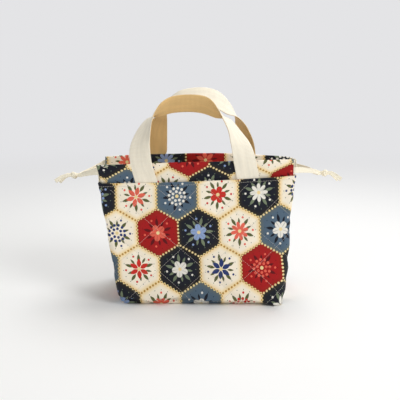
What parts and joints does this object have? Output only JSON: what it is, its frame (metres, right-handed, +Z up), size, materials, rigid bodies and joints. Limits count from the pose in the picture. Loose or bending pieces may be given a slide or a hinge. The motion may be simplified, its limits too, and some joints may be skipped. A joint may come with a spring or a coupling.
{
  "type": "knitting project bag",
  "caption": "Padded, boxed-bottom cloth tote whose mouth has drawstring casings, with webbing handles and knotted tape drawstrings, for carrying a knitting project.",
  "frame": {"origin": "middle of the base, on the surface that the bag stands on", "axes": "+X to the right along the mouth, +Y from the front panel to the back panel, +Z up"},
  "size_m": [0.4347, 0.146, 0.3003],
  "materials": {
    "printed_cotton": "plain-weave quilting cotton with a patchwork print, machine quilted",
    "fleece": "fusible fleece wadding",
    "lining_cotton": "plain-weave cotton",
    "cotton_webbing": "heavy twill cotton webbing, undyed",
    "cotton_tape": "herringbone cotton tape, undyed"
  },
  "bodies": {
    "bag": {"outer_front": "printed_cotton", "outer_back": "printed_cotton", "fleece_front": "fleece", "fleece_back": "fleece", "lining_front": "lining_cotton", "lining_back": "lining_cotton", "casing_front": "printed_cotton", "casing_back": "printed_cotton", "front_handle_left_tab": "cotton_webbing", "front_handle_right_tab": "cotton_webbing", "back_handle_left_tab": "cotton_webbing", "back_handle_right_tab": "cotton_webbing", "left_drawstring_front_run": "cotton_tape", "left_drawstring_back_run": "cotton_tape", "left_drawstring_turn": "cotton_tape", "right_drawstring_front_run": "cotton_tape", "right_drawstring_back_run": "cotton_tape", "right_drawstring_turn": "cotton_tape"},
    "front_handle": {"front_handle": "cotton_webbing"},
    "back_handle": {"back_handle": "cotton_webbing"},
    "left_drawstring": {"left_front_strand": "cotton_tape", "left_back_strand": "cotton_tape", "left_knot": "cotton_tape", "left_front_tail": "cotton_tape", "left_back_tail": "cotton_tape"},
    "right_drawstring": {"right_front_strand": "cotton_tape", "right_back_strand": "cotton_tape", "right_knot": "cotton_tape", "right_front_tail": "cotton_tape", "right_back_tail": "cotton_tape"}
  },
  "joints": [
    {"name": "front_handle_swing", "type": "hinge", "parent": "bag", "child": "front_handle", "pos_m": [0, -0.046, 0.17], "axis": [1, 0, 0], "range_deg": [0, 160]},
    {"name": "back_handle_swing", "type": "hinge", "parent": "bag", "child": "back_handle", "pos_m": [0, 0.046, 0.17], "axis": [-1, 0, 0], "range_deg": [0, 160]},
    {"name": "left_drawstring_pull", "type": "slide", "parent": "bag", "child": "left_drawstring", "axis": [-1, 0, 0], "range_m": [-0.02, 0.012], "deforming": ["left_front_strand", "left_back_strand"]},
    {"name": "right_drawstring_pull", "type": "slide", "parent": "bag", "child": "right_drawstring", "axis": [1, 0, 0], "range_m": [-0.02, 0.012], "deforming": ["right_front_strand", "right_back_strand"]}
  ]
}
